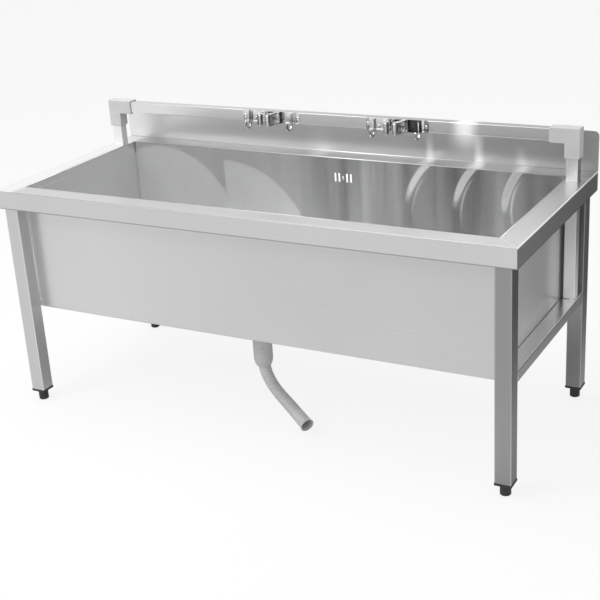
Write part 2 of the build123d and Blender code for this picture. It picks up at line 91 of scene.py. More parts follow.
camera = bpy.data.objects.new("camera", bpy.data.cameras.new("camera"))
bpy.context.scene.collection.objects.link(camera)
camera.matrix_world = Matrix.Translation(camera_place) @ Matrix((right, up, -ahead)).transposed().to_4x4()
camera.data.lens = focal_pixels / photo_width * camera.data.sensor_width
camera.data.clip_end = 60
bpy.context.scene.camera = camera
print("lens", round(camera.data.lens, 2), "mm")

# %% [markdown]
# ## Wiring materials as sums
#
# A procedural material is arithmetic: a mask is a difference, a stripe is a sine, a speckle is a noise times a
# number. Blender's Math nodes do each step, but long chains of them are hard to read. So a small class wraps a
# node's socket and gives it Python's operators. Each operator adds one Math node, and the reflected forms make
# `1 - mask` work too. Another class holds a material that is being wired, and its one method `node` adds any other
# node: the settings come first, because they decide which sockets a node has.

# %% A socket that takes part in sums
class Wire:
    """A node's output that Python's operators can work on."""

    def __init__(self, sheet, socket):
        self.sheet = sheet
        self.socket = socket

    def maths(self, operation, *values):
        return self.sheet.node("ShaderNodeMath", {"operation": operation}, *values)

    def __add__(self, other):
        return self.maths("ADD", self, other)

    def __radd__(self, other):
        return self.maths("ADD", other, self)

    def __sub__(self, other):
        return self.maths("SUBTRACT", self, other)

    def __rsub__(self, other):
        return self.maths("SUBTRACT", other, self)

    def __mul__(self, other):
        return self.maths("MULTIPLY", self, other)

    def __rmul__(self, other):
        return self.maths("MULTIPLY", other, self)

    def __truediv__(self, other):
        return self.maths("DIVIDE", self, other)

    def __pow__(self, power):
        return self.maths("POWER", self, power)

    def __abs__(self):
        return self.maths("ABSOLUTE", self)

    def rise(self, low, high):
        """0 below low, 1 above high, and a soft step between them."""
        return self.sheet.node("ShaderNodeMapRange", {"interpolation_type": "SMOOTHSTEP"}, self, low, high, 0.0, 1.0)

    def fall(self, low, high):
        """1 below low, 0 above high."""
        return self.sheet.node("ShaderNodeMapRange", {"interpolation_type": "SMOOTHSTEP"}, self, low, high, 1.0, 0.0)


# %% A material that is being wired
class Sheet:
    """A node tree with one method that adds any node."""

    def __init__(self, tree):
        self.tree = tree

    def node(self, kind, settings=None, *values, out=None, **named):
        made = self.tree.nodes.new(kind)
        for key, value in (settings or {}).items():
            setattr(made, key, value)
        free = [socket for socket in made.inputs if socket.enabled]
        for socket, value in zip(free, values):
            self.feed(socket, value)
        for name, value in named.items():
            self.feed(next(socket for socket in free if socket.name == name.replace("_", " ")), value)
        outputs = [socket for socket in made.outputs if socket.enabled]
        chosen = next(socket for socket in outputs if socket.name == out) if out else outputs[0] if outputs else None
        return Wire(self, chosen)

    def feed(self, socket, value):
        """Links a wire, or sets a plain value."""
        if isinstance(value, Wire):
            self.tree.links.new(value.socket, socket)
        elif value is not None:
            is_colour = socket.type == "RGBA" and len(value) == 3
            socket.default_value = (*value, 1.0) if is_colour else value

    def place(self, scale):
        """The piece's own coordinates in metres, stretched."""
        here = self.node("ShaderNodeTexCoord", None, out="Object")
        return self.node("ShaderNodeMapping", None, here, Scale=scale)

    def axes(self):
        """X, Y and Z of the piece's own coordinates as three wires."""
        here = self.node("ShaderNodeTexCoord", None, out="Object")
        split = self.node("ShaderNodeSeparateXYZ", None, here)
        return [Wire(self, split.socket.node.outputs[axis]) for axis in "XYZ"]

    def noise(self, scale, detail=2.0, stretch=(1, 1, 1)):
        return self.node("ShaderNodeTexNoise", None, self.place(stretch), Scale=scale, Detail=detail, Roughness=0.5)

    def blend(self, mask, first, second):
        """The first colour where the mask is 0, and the second where it is 1."""
        return self.node("ShaderNodeMix", {"data_type": "RGBA"}, mask, first, second)

    def grey_of(self, value):
        """A wire's value as a colour."""
        return self.node("ShaderNodeCombineColor", None, value, value, value)

    def bump(self, height, strength, distance):
        return self.node("ShaderNodeBump", None, Strength=strength, Distance=distance, Height=height)


# %% A material and its shader
class Finish(Sheet):
    """A material, with constants set on its shader's own sockets."""

    def __init__(self, name, metallic=0.0, roughness=0.5, **constants):
        self.material = bpy.data.materials.new(name)
        self.material.use_nodes = True
        super().__init__(self.material.node_tree)
        self.shader = self.tree.nodes["Principled BSDF"]
        self.wire(Metallic=metallic, Roughness=roughness, **constants)

    def wire(self, **values):
        for name, value in values.items():
            self.feed(self.shader.inputs[name.replace("_", " ")], value)
        return self


def grey(value, warmth=0.0):
    """A neutral colour, a touch warmer or cooler."""
    return (value * (1 + warmth), value, value * (1 - warmth))


print("wiring classes ready")

# %% [markdown]
# ## The studio
#
# The photograph is a cut-out on pure white, taken in soft light from the front and the left. A white world and a
# pale floor that looks white to the camera give that background without more light on the steel. Steel is a mirror,
# if a blurred one, so what stands round it matters more than the lamps do. The faces that look to the right are dark
# in the photograph: there the room was dark. The world therefore gets darker towards the right and the back, and so
# does the floor, but only for reflections.

# %% The world
scene = bpy.context.scene
scene.view_settings.view_transform = "Standard"
scene.world = bpy.data.worlds.new("studio")
scene.world.use_nodes = True
sky = Sheet(scene.world.node_tree)
sky_shader = sky.tree.nodes["Background"]

sky_split = sky.node("ShaderNodeSeparateXYZ", None, sky.node("ShaderNodeTexCoord", None, out="Generated"))
sky_x, sky_y, sky_z = (Wire(sky, sky_split.socket.node.outputs[axis]) for axis in "XYZ")
room_level = 0.62
dark_side = (sky_x * 0.9 + sky_y * 0.3).rise(0.10, 0.75)
room_light = 1.0 - dark_side * 0.80
camera_ray = sky.node("ShaderNodeLightPath", None, out="Is Camera Ray")
through_ray = sky.node("ShaderNodeLightPath", None, out="Is Transmission Ray")
glossy_ray = sky.node("ShaderNodeLightPath", None, out="Is Glossy Ray")
plain_white = sky.node("ShaderNodeMath", {"operation": "MAXIMUM"}, camera_ray, through_ray)
lit_room = sky.blend(glossy_ray, grey(room_level), sky.grey_of(room_light))
sky.feed(sky_shader.inputs["Color"], sky.blend(plain_white, lit_room, grey(1.0)))
print("world is white to the camera and darker to the right in reflections")

# %% [markdown]
# The floor is one large pale sheet. Part of what it shows is its own light, so that the camera sees it nearly white,
# while the steel sees a floor that is darker to the right, where the room was dark, and a painted shadow under the
# sink.

# %% The floor
floor_half = 14
floor_mesh = bpy.data.meshes.new("floor")
floor = bpy.data.objects.new("floor", floor_mesh)
scene.collection.objects.link(floor)
shape = bmesh.new()
bmesh.ops.create_grid(shape, x_segments=1, y_segments=1, size=floor_half)
shape.to_mesh(floor_mesh)
shape.free()

paper = Finish("floor_paper", roughness=0.9)
paper_x, paper_y, paper_z = paper.axes()
grain_of_paper = paper.noise(220, 3)
paper.wire(Base_Color=paper.blend(grain_of_paper, grey(0.88), grey(0.92)))
shade_zone = (paper_x * 0.9 + paper_y * 0.3).rise(0.65, 1.15)
# A painted shadow under the sink, seen only in reflections.
under_sink_painted_shadow = abs(paper_x).fall(0.55, 0.85) * abs(paper_y).fall(0.15, 0.45)
mirror_level = (1.0 - shade_zone * 0.80) * (1.0 - under_sink_painted_shadow * 0.60)
sees_camera = paper.node("ShaderNodeLightPath", None, out="Is Camera Ray")
sees_glossy = paper.node("ShaderNodeLightPath", None, out="Is Glossy Ray")
glow_level = paper.blend(sees_glossy, grey(1.0), paper.grey_of(mirror_level))
glow = paper.node("ShaderNodeEmission", None, glow_level, 1.0)
share = sees_camera * 0.84 + sees_glossy * 0.85
mixed = paper.node("ShaderNodeMixShader", None, share, Wire(paper, paper.shader.outputs[0]), glow)
paper.feed(paper.tree.nodes["Material Output"].inputs["Surface"], mixed)
floor_mesh.materials.append(paper.material)
print("floor laid")

# %% [markdown]
# Two large area lamps are the soft boxes of the studio: one in front at the left, and one overhead.

# %% The lamps
def softbox(name, place, aim, size, power):
    """A square area lamp that points at a place."""
    lamp = bpy.data.objects.new(name, bpy.data.lights.new(name, "AREA"))
    lamp.data.shape = "RECTANGLE"
    lamp.data.size, lamp.data.size_y = size
    lamp.data.energy = power
    scene.collection.objects.link(lamp)
    look = (Vector(aim) - Vector(place)).to_track_quat("-Z", "Y")
    lamp.matrix_world = Matrix.Translation(place) @ look.to_matrix().to_4x4()
    return lamp


softbox("key_lamp", (-1.6, -2.6, 2.9), (0, 0, 0.4), (2.0, 1.6), 46)
softbox("top_lamp", (-0.5, -0.2, 3.0), (-0.1, 0.0, 0.3), (2.0, 1.6), 36)
print("lamps set")

# %% [markdown]
# ## Brushed steel
#
# Sheet steel leaves the mill with a satin grain: countless fine scratches, all one way. Close up they are lines of
# slightly different brightness, and from afar they blur a reflection. A noise that is stretched hundreds of times
# along one axis makes such lines. It moves the colour, the roughness and the bump together, and a slow cloudy noise on
# top keeps a wide panel from looking like one flat tone. The shader's own anisotropy isn't used: these meshes have no
# UV map for it to follow, and it shaded one long triangle of the splash black.

# %% The grain of a sheet
fine_lines = 1400
broad_lines = 160
along_grain = 2.5


def stretched(axis, across):
    """A mapping scale whose noise turns into lines along one axis."""
    return tuple(along_grain if name == axis else across for name in "XYZ")


def grain(finish, axis):
    """Fine and broad brush lines along an axis, from 0 to 1."""
    fine = finish.noise(1.0, 2.0, stretched(axis, fine_lines))
    broad = finish.noise(1.0, 3.0, stretched(axis, broad_lines))
    return fine * 0.55 + broad * 0.45


def brushed(made, lines, level, rough, colour_swing=0.07, rough_swing=0.08, extra_light=0.0, extra_rough=0.0,
            scratch_depth=0.02):
    """Satin steel whose colour and roughness follow the lines and a slow cloud."""
    cloud = made.noise(2.2, 2.0)
    tone = (lines - 0.5) * colour_swing + (cloud - 0.5) * 0.06 + extra_light
    made.wire(
        Base_Color=made.blend(tone + 0.5, grey(0.0), grey(level * 2.0, -0.003)),
        Roughness=(lines - 0.5) * rough_swing + (cloud - 0.5) * 0.05 + extra_rough + rough,
        Normal=made.bump(lines, scratch_depth, 0.0004))
    return made.material


print("grain helpers ready")

# %% [markdown]
# ## The finishes of the sheet parts
#
# The frame's four sides were brushed before they were folded, so the grain runs along each side and turns at the
# mitre. The mitre itself is a ground weld: a narrow line, brighter and smoother than the sheet. One sum finds it: the
# distance from the outer edge, as a share of the rim's width, is equal for both sides exactly on the mitre. Along
# the back of the rim and up the splash, a few painted highlights stand for mirrored lamps, each at its own distance
# along X. The outer fold at the right gets a painted highlight, and the lower fold and the front and back folds get
# painted shade. The strip behind the opening is painted darker. The top is painted lighter towards the right and at
# its left end, and the right end face darker: painted light and shade.

# %% Frame steel
half_length, half_depth = cad_high.x, cad_high.y
side_width, front_width = 0.056, 0.052
rim_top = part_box("rim_frame")[1].z
back_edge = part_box("basin")[1].y - 0.0012
rim_painted_highlights = ((-0.055, 0.045, 0.16), (0.262, 0.026, 0.28), (0.395, 0.032, 0.30), (0.520, 0.030, 0.24))
fascia_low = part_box("rim_frame")[0].z
print("the rim is at", round(rim_top, 4), "and the fascia ends at", round(fascia_low, 4))


def frame_finish():
    """Steel of the top frame, with mitred grain, ground corner welds, and painted light and shade on its folds, top
    and ends.
    """
    made = Finish("frame_steel", metallic=0.95)
    x, y, z = made.axes()
    from_side = (half_length - abs(x)) / side_width
    from_end = (half_depth - abs(y)) / front_width
    on_side = (from_end - from_side).rise(-0.01, 0.01)
    lines = grain(made, "X") * (1.0 - on_side) + grain(made, "Y") * on_side
    seam = abs(from_end - from_side).fall(0.02, 0.07)
    # Painted shade on the lower fold and on the front and back folds, and a painted highlight on the outer right fold.
    low_fold_painted_shade = z.fall(fascia_low + 0.0015, fascia_low + 0.0040)
    high_fold_painted_shade = (z - rim_top).rise(-0.0022, -0.0008) * (half_depth - abs(y)).fall(0.0008, 0.0024)
    right_face_painted_shade = (x - half_length).rise(-0.0012, -0.0004)
    side_fold_painted_highlight = (z - rim_top).rise(-0.0034, -0.0016) * (half_length - x).fall(0.0012, 0.0030)
    top_face = (z - rim_top).rise(-0.0006, -0.0002)
    to_right = x.rise(0.0, 0.62)
    # Painted highlights along the back of the rim, where lamps are mirrored.
    painted_spots = x * 0.0
    for spot_x, half_width, strength in rim_painted_highlights:
        painted_spots = painted_spots + abs(x - spot_x).fall(0.0, half_width) * strength
    painted_spots = painted_spots * top_face * y.rise(back_edge - 0.001, back_edge + 0.001)
    # The strip behind the opening is painted darker. The left end of the top is painted lighter: painted light.
    back_strip = top_face * y.rise(back_edge - 0.001, back_edge + 0.001) * -0.13
    left_strip_painted_light = top_face * x.fall(-0.66, -0.63) * 0.22
    made.wire(Metallic=0.95 - side_fold_painted_highlight * 0.75)
    # The top is painted lighter towards the right: painted light.
    light = seam * 0.04 - low_fold_painted_shade * 0.24 - high_fold_painted_shade * 0.22 + side_fold_painted_highlight * 0.50 + top_face * to_right * 0.07
    light = light + painted_spots + back_strip + left_strip_painted_light
    # The right end face is painted darker, most at the back: painted shade.
    return brushed(made, lines, 0.60, 0.30,
                   extra_light=light - right_face_painted_shade * (y.rise(-0.3, 0.3) * 0.18 + 0.16),
                   extra_rough=seam * -0.05 + high_fold_painted_shade * 0.15 - side_fold_painted_highlight * 0.12)


# %% [markdown]
# The tub is a bent sheet with two end walls welded in. The corner welds are ground flush and show as soft bright
# uprights. Inside, the back wall has painted light: two wide lobes at the left, lighter than the sheet above them,
# and at the right three narrow bright arcs, painted reflections of the room's lights. All of them are parts of
# circles, so the distance from a centre draws each one. The back wall is also painted darker towards the right, with
# light and dark bands there as painted reflections. The inner corners get painted shade, the inner faces are painted
# lighter, and the outer faces are painted lighter or darker by how the light falls.

# %% Tub steel
wall_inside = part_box("basin")[1].x - 0.0012
back_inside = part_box("basin")[1].y - 0.0012
front_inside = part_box("basin")[0].y + 0.0012
painted_lobes = ((-0.550, 0.355, 0.240, -1.0), (-0.335, 0.305, 0.265, -0.345))
painted_glints = ((0.400, 0.463, 0.186, 0.85), (0.530, 0.475, 0.181, 1.35), (0.648, 0.498, 0.165, 1.80))
print(len(painted_lobes), "lobes and", len(painted_glints), "arcs on the wall at y", round(back_inside, 4))


def tub_finish():
    """Steel of the tub, with corner welds, and painted light, shade and reflections inside and out."""
    made = Finish("tub_steel", metallic=0.80)
    x, y, z = made.axes()
    on_end = (abs(x) - wall_inside).rise(-0.004, -0.001)
    lines = grain(made, "X") * (1.0 - on_end) + grain(made, "Y") * on_end
    on_back = y.rise(back_inside - 0.004, back_inside - 0.001) * y.fall(back_inside + 0.0004, back_inside + 0.0008)
    inner = (abs(x) - wall_inside).fall(0.0004, 0.0008) * (y - front_inside).rise(-0.0008, -0.0004)
    inner = inner * (y - back_inside).fall(0.0004, 0.0008)
    near_end = (wall_inside - abs(x)).fall(0.003, 0.009)
    on_long = (abs(y + 0.005) - 0.240).rise(-0.003, 0.001)
    seam = near_end * on_long

    # Painted light: the lobes and arcs are painted reflections of the room's lights.
    painted_lobe_light = x * 0.0
    for centre_x, centre_z, radius, start_x in painted_lobes:
        reach = ((x - centre_x) ** 2.0 + (z - centre_z) ** 2.0) ** 0.5
        inside = reach.fall(radius - 0.012, radius + 0.003) * x.rise(start_x, start_x + 0.01)
        painted_lobe_light = made.node("ShaderNodeMath", {"operation": "MAXIMUM"}, painted_lobe_light, inside)
    painted_glint_light = x * 0.0
    for centre_x, centre_z, radius, strength in painted_glints:
        reach = ((x - centre_x) ** 2.0 + (z - centre_z) ** 2.0) ** 0.5
        left_arc = (x - centre_x).fall(-0.10, -0.06)
        broad = abs(reach - radius).fall(0.001, 0.013) * z.rise(0.48, 0.56)
        thin = abs(reach - radius + 0.017).fall(0.0, 0.006) * z.rise(0.42, 0.52) * z.fall(0.54, 0.59) * 0.22
        painted_glint_light = painted_glint_light + (broad + thin) * left_arc * strength

    # The back wall is painted darker towards the right, with light and dark bands there as painted reflections.
    to_right = x.rise(-0.22, 0.10)
    painted_reflection_bands = made.noise(1.0, 2.0, (18, 0.8, 0.8)) - 0.5
    wall_light = painted_lobe_light * 0.34 + painted_glint_light * 0.95 - to_right * 0.28 + painted_reflection_bands * (to_right * 0.55 + 0.1)
    # Painted shade in the inner corners, painted light on the inner faces, and the outer faces painted lighter or
    # darker by how the light falls.
    corner_line_painted_shade = (wall_inside - abs(x)).fall(0.0005, 0.0030) * on_long * inner
    outer_end_painted_light_and_shade = (abs(x) - wall_inside).rise(0.0006, 0.0010) * (0.16 - y.rise(-0.22, 0.22) * 0.30)
    outer_front_painted_shade = (y - front_inside).fall(-0.0010, -0.0006) * x.rise(-0.5, 0.3) * -0.05
    return brushed(made, lines, 0.62, 0.26, colour_swing=0.05,
                   extra_light=seam * 0.10 - corner_line_painted_shade * 0.35 + inner * 0.14 + on_back * wall_light
                   + outer_end_painted_light_and_shade + outer_front_painted_shade,
                   extra_rough=seam * -0.05 - on_back * painted_glint_light * 0.08)


# %% [markdown]
# The splash, the rail and the legs are plain sheet and tube. Their grain runs along them. The light falls off from
# left to right along the back, and the front leg on the right stands in darker light than the one on the left, so
# each of these finishes has a slow change of tone along X: painted light and shade. The rounded corners of a tube
# get a painted highlight. Some faces are painted lighter or darker by how the light falls: the tops of the
# stretchers and the lower part of each post lighter, the top of the rail and the faces that look to the right
# darker. The rail has one painted highlight upright.

# %% Plain sheet and tube steel
def sheet_finish(name, axis, level, rough, left_light=0.0, right_light=0.0, metallic=0.95, corner_painted_highlight=None,
                 painted_face_lights=(), painted_streaks=(), painted_low_light=None, **constants):
    """Plain satin steel with its grain along one axis, and painted light and shade: a slow change of tone from left to
    right, lit corners, lit or shaded faces and bright streaks.
    """
    made = Finish(name, metallic=metallic, **constants)
    x, y, z = made.axes()
    # A slow change of tone along X: painted light and shade.
    across = x.rise(-0.6, 0.6)
    light = across * (right_light - left_light) + left_light
    # A painted highlight on the rounded corners.
    if corner_painted_highlight:
        middle_x, middle_y, flat_x, flat_y, strength = corner_painted_highlight
        off_x = abs(abs(x) - middle_x).rise(flat_x - 0.0006, flat_x + 0.0012)
        off_y = abs(abs(y) - middle_y).rise(flat_y - 0.0006, flat_y + 0.0012)
        light = light + off_x * off_y * strength
    # Faces painted lighter or darker by how the light falls.
    for number, face_place, strength in painted_face_lights:
        light = light + (x, y, z)[number].rise(face_place - 0.0008, face_place - 0.0002) * strength
    # Painted light on the lower part.
    if painted_low_light:
        full_z, none_z, strength = painted_low_light
        light = light + z.fall(full_z, none_z) * strength
    # Painted highlights as bright streaks.
    glow = x * 0.0
    for streak_x, half_width, strength in painted_streaks:
        glow = glow + abs(x - streak_x).fall(0.0, half_width) * strength
    if painted_streaks:
        made.wire(Metallic=metallic - glow.rise(0.0, 0.6) * 0.6)
    return brushed(made, grain(made, axis), level, rough, extra_light=light + glow)


# %% [markdown]
# The splash has soft bright uprights: painted highlights that stand for mirrored lamps and run on from the painted
# highlights of the rim. Each has a place along X, a half width, the height where it is faint, the height where it is
# full, and a strength. The last one has a negative strength: a darker upright, a painted dark reflection. They are
# less metallic than the sheet, so that they stay bright whatever they mirror, and they are on the front face only.
# The splash is also painted darker towards the right.

# %% Splash steel with its bright uprights
splash_painted_reflections = (
    (0.357, 0.060, 0.600, 0.690, 0.62),
    (0.392, 0.018, 0.690, 0.610, 0.34),
    (0.258, 0.016, 0.685, 0.610, 0.28),
    (0.505, 0.024, 0.660, 0.610, 0.18),
    (-0.064, 0.060, 0.690, 0.600, 0.10),
    (-0.560, 0.060, 0.600, 0.700, -0.10),
)


splash_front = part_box("backsplash")[0].y


def splash_finish():
    """Steel of the splash, with painted highlights as soft bright uprights that fade up or down, and painted shade
    towards the right.
    """
    made = Finish("splash_steel", metallic=0.80)
    x, y, z = made.axes()
    # Painted shade towards the right.
    light = 0.14 - x.rise(-0.65, 0.5) * 0.23
    on_front = y.fall(splash_front + 0.0002, splash_front + 0.0006)
    # Painted highlights, and one painted dark reflection, as uprights on the front face.
    glow = x * 0.0
    for streak_x, half_width, faint_z, full_z, strength in splash_painted_reflections:
        fade = z.rise(faint_z, full_z) if full_z > faint_z else z.fall(full_z, faint_z)
        glow = glow + abs(x - streak_x).fall(0.0, half_width) * fade * strength
    glow = glow * on_front
    made.wire(Metallic=0.80 - glow.rise(0.0, 0.6) * 0.65)
    return brushed(made, grain(made, "X"), 0.60, 0.34, extra_light=light + glow, scratch_depth=0.01)


leg_low, leg_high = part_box("leg_front_right")
leg_middle = (leg_low + leg_high) / 2
post_low, post_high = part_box("upright_right")
rail_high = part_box("rail")[1]
stretcher_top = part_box("side_stretcher_right")[1].z
corner_reach = 0.0025
leg_corner_highlights = (leg_middle.x, -leg_middle.y, leg_high.x - leg_middle.x - corner_reach,
               leg_high.y - leg_middle.y - corner_reach, 0.16)
finishes = {
    "frame": frame_finish(),
    "tub": tub_finish(),
    "splash": splash_finish(),
    "rail": sheet_finish("rail_steel", "X", 0.66, 0.30, 0.07, -0.09, metallic=0.85,
                         painted_face_lights=[(2, rail_high.z - 0.0016, -0.13)], painted_streaks=[(0.396, 0.045, 0.50)]),
    "leg": sheet_finish("leg_steel", "Z", 0.56, 0.30, 0.00, -0.24, corner_painted_highlight=leg_corner_highlights,
                        painted_face_lights=[(0, leg_high.x, -0.16)]),
    "upright": sheet_finish("upright_steel", "Z", 0.84, 0.26, metallic=0.55,
                            painted_face_lights=[(0, post_high.x, -0.34)], painted_low_light=(0.30, 0.50, 0.40)),
    "stretcher": sheet_finish("stretcher_steel", "Y", 0.52, 0.26,
                              painted_face_lights=[(2, stretcher_top, 0.50), (0, leg_high.x, -0.20)]),
}
print(len(finishes), "steel finishes")

# %% [markdown]
# ## Bright parts and plastics
#
# The holders are polished until they mirror the room, with only a faint haze of fine scratches. The plastics differ
# by their surface: the corner sleeves have a fine matte texture from their mould, the waste is smoother, and the
# black feet are dull with a little dust on what looks up.

# %% Polished steel
def polished_finish(name, level, rough, painted_dark_reflections=0.0, band_scale=(40, 40, 14), painted_reflection_patches=()):
    """Bright steel with a haze of fine scratches, a few smudges, and dark bands and patches: painted reflections of a
    dark room.
    """
    made = Finish(name, metallic=1.0)
    scratches = made.noise(900, 3)
    smudges = made.noise(38, 3)
    # Painted reflections: dark bands and patches in the colour.
    painted_reflection_bands = made.noise(1.0, 1.0, band_scale).rise(0.50, 0.60) * painted_dark_reflections
    across = made.axes()[0]
    for low, high, strength in painted_reflection_patches:
        painted_reflection_bands = painted_reflection_bands + across.rise(low - 0.001, low) * across.fall(high, high + 0.001) * strength
    made.wire(
        Base_Color=made.blend(painted_reflection_bands, made.blend(smudges, grey(level * 0.90), grey(level)), grey(0.06)),
        Roughness=smudges * 0.08 + scratches * 0.04 + (rough - 0.04),
        Normal=made.bump(scratches, 0.02, 0.0002))
    return made.material


# Each painted dark or grey reflection on the two plates: where it starts and ends along X, and how dark it is.
plate_painted_reflections = ((-0.2165, -0.2125, 0.8), (-0.123, -0.117, 0.8), (-0.083, -0.074, 0.3),
                 (0.129, 0.138, 0.5), (0.2454, 0.2825, 0.95), (0.289, 0.301, 0.6))
print(len(plate_painted_reflections), "patches on the holder plates")

# %% [markdown]
# Plastic is not a metal, so it has its own colour under a weak reflection. Fine pores from the mould break that up.
# The housing behind the overflow slots is thin and white, and light comes through its wall. That is why the slots look
# bright in the photograph. A mask of its hollow gives it a painted glow there and nowhere else: painted light that
# stands for the light through the wall.

# %% Moulded plastic
def moulded_finish(name, level, rough, texture, depth, warmth=0.0, dust=0.0):
    """Plastic with a fine mould texture, slow flow marks and dust on its upper faces."""
    made = Finish(name, roughness=rough, IOR=1.49)
    pores = made.noise(texture, 3)
    flow = made.noise(26, 2)
    normal = made.node("ShaderNodeNewGeometry", None, out="Normal")
    facing = made.node("ShaderNodeSeparateXYZ", None, normal)
    top = Wire(made, facing.socket.node.outputs["Z"]).rise(0.3, 1.0)
    base = made.blend(flow, grey(level * 0.93, warmth), grey(level * 1.06, warmth))
    made.wire(
        Base_Color=made.blend(top * dust * (flow * 0.6 + 0.4), base, grey(0.35, 0.04)),
        Roughness=(pores - 0.5) * 0.14 + top * dust + rough,
        Normal=made.bump(pores, depth, 0.0005))
    return made


def housing_finish():
    """Thin white plastic: light comes through its wall, so its hollow gets a painted glow behind the overflow slots.
    """
    made = moulded_finish("housing_plastic", 0.74, 0.35, 900, 0.10, 0.01)
    x, y, z = made.axes()
    low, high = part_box("overflow_housing")
    middle, half = (low + high) / 2, (high - low) / 2
    box_half_height = 0.022
    wall, soft = 0.0019, 0.0004
    hollow = (abs(x - middle.x).fall(half.x - wall, half.x - wall + soft) * y.fall(high.y - wall, high.y - wall + soft)
              * abs(z - high.z + box_half_height).fall(box_half_height - wall, box_half_height - wall + soft))
    # A painted glow in the hollow: painted light.
    return made.wire(Emission_Strength=0.55, Emission_Color=made.blend(hollow, grey(0.0), grey(1.0)))


finishes.update({
    "polished": polished_finish("polished_steel", 0.90, 0.10),
    "plate": polished_finish("plate_steel", 0.95, 0.12, 0.15, (60, 60, 40), plate_painted_reflections),
    "jaw": polished_finish("jaw_steel", 0.86, 0.12, 0.70, (120, 90, 20)),
    "roller": polished_finish("roller_steel", 0.80, 0.16, 0.75, (260, 260, 6)),
    "wire": polished_finish("spring_wire", 0.40, 0.28),
    "bright_weld": polished_finish("weld_steel", 0.86, 0.30),
    "sleeve": moulded_finish("sleeve_plastic", 0.58, 0.55, 1500, 0.25).material,
    "waste": moulded_finish("waste_plastic", 0.50, 0.42, 900, 0.12).material,
    "hose": moulded_finish("hose_plastic", 0.55, 0.38, 700, 0.12).material,
    "housing": housing_finish().material,
    "foot": moulded_finish("foot_plastic", 0.022, 0.48, 1100, 0.25, dust=0.06).material,
    "seal": moulded_finish("seal_rubber", 0.030, 0.62, 800, 0.25).material,
})
print(len(finishes), "finishes")

# %% [markdown]
# ## Each solid gets its finish
#
# The names of the solids say what they are, so the start of each name picks the finish. A solid keeps its mesh and
# its place: only what fills its material slots changes.

# %% Assign the finishes
finish_by_start = {
    "rim_frame": "frame", "basin": "tub", "backsplash": "splash", "rail": "rail", "leg_": "leg", "upright_": "upright",
    "side_stretcher_": "stretcher", "corner_sleeve_": "sleeve", "foot_": "foot", "holder_": "polished",
    "holder_plate_": "plate", "holder_hooks_": "jaw", "clamp_bracket_": "jaw", "jaw_": "jaw",
    "jaw_pivot_pins": "polished", "jaw_spring_": "wire", "roller_": "roller",
    "roller_axle_": "polished", "drain_flange": "polished", "drain_seal": "seal", "drain_locknut": "waste",
    "drain_body": "waste", "hose_nut": "waste", "strainer_basket": "polished", "drain_hose": "hose",
    "hose_cuff": "hose", "overflow_housing": "housing", "overflow_seal": "seal", "overflow_screw": "polished",
    "overflow_pipe": "hose",
}
for name, solid in nodes.items():
    start = max((key for key in finish_by_start if name.startswith(key)), key=len)
    for slot in solid.material_slots:
        slot.material = finishes[finish_by_start[start]]
print("every solid has a finish")

# %% [markdown]
# ## Small round work
#
# Weld beads, tack welds, a bead along a folded edge and the legs of a spring are all short round bars. A cone with
# two equal ends makes a bar, and a small sphere closes each end. One helper adds such a bar to a bmesh between two
# points, so that a whole run of welds becomes one piece.

# %% Bars, dots and loops
def add_bar(shape, start, end, radius, sides=10):
    """A round bar between two points, with round ends."""
    start, end = Vector(start), Vector(end)
    run = end - start
    turn = run.to_track_quat("Z", "Y").to_matrix().to_4x4()
    bmesh.ops.create_cone(shape, cap_ends=True, segments=sides, radius1=radius, radius2=radius, depth=run.length,
                          matrix=Matrix.Translation((start + end) / 2) @ turn)
    for tip in (start, end):
        add_dot(shape, tip, (radius, radius, radius))


def add_dot(shape, place, size):
    """A small ball or a flattened one."""
    bmesh.ops.create_icosphere(shape, subdivisions=2, radius=1.0,
                               matrix=Matrix.Translation(place) @ Matrix.Diagonal((*size, 1)))


def finish_piece(name, shape, smooth=True):
    """Turns a bmesh into an object at the origin."""
    mesh = bpy.data.meshes.new(name)
    for face in shape.faces:
        face.smooth = smooth
    shape.to_mesh(mesh)
    shape.free()
    piece = bpy.data.objects.new(name, mesh)
    scene.collection.objects.link(piece)
    return piece


def place_piece(piece, finish, body):
    """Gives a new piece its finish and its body."""
    piece.data.materials.append(finishes[finish])
    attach(piece, body)
    print(piece.name, len(piece.data.polygons), "faces on", body)
    return piece


# %% [markdown]
# ## Welds and folded edges
#
# The edge of the opening is folded down over the tub, and the fold catches the light as a thin bright line at the
# sides and the back, and a fainter one in front. The tub is held to each leg by a row of tack welds: small bright
# dots on a thin joint line. The splash is welded to the back of the rim, which leaves a low bead along its foot. The
# stretchers and the posts have short fillet welds where they meet.

# %% The bead round the opening
opening_low, opening_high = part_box("basin")
bead_radius = 0.0011
bead_height = rim_top - 0.0003
front_share = 0.45
corners = [(opening_low.x + 0.0012, front_inside), (wall_inside, front_inside),
           (wall_inside, back_inside), (opening_low.x + 0.0012, back_inside)]
shape = bmesh.new()
for (x0, y0), (x1, y1) in zip(corners, corners[1:] + corners[:1]):
    is_front = y0 == y1 == front_inside
    add_bar(shape, (x0, y0, bead_height), (x1, y1, bead_height), bead_radius * (front_share if is_front else 1.0))
place_piece(finish_piece("opening_edge_bead", shape), "bright_weld", "stand")

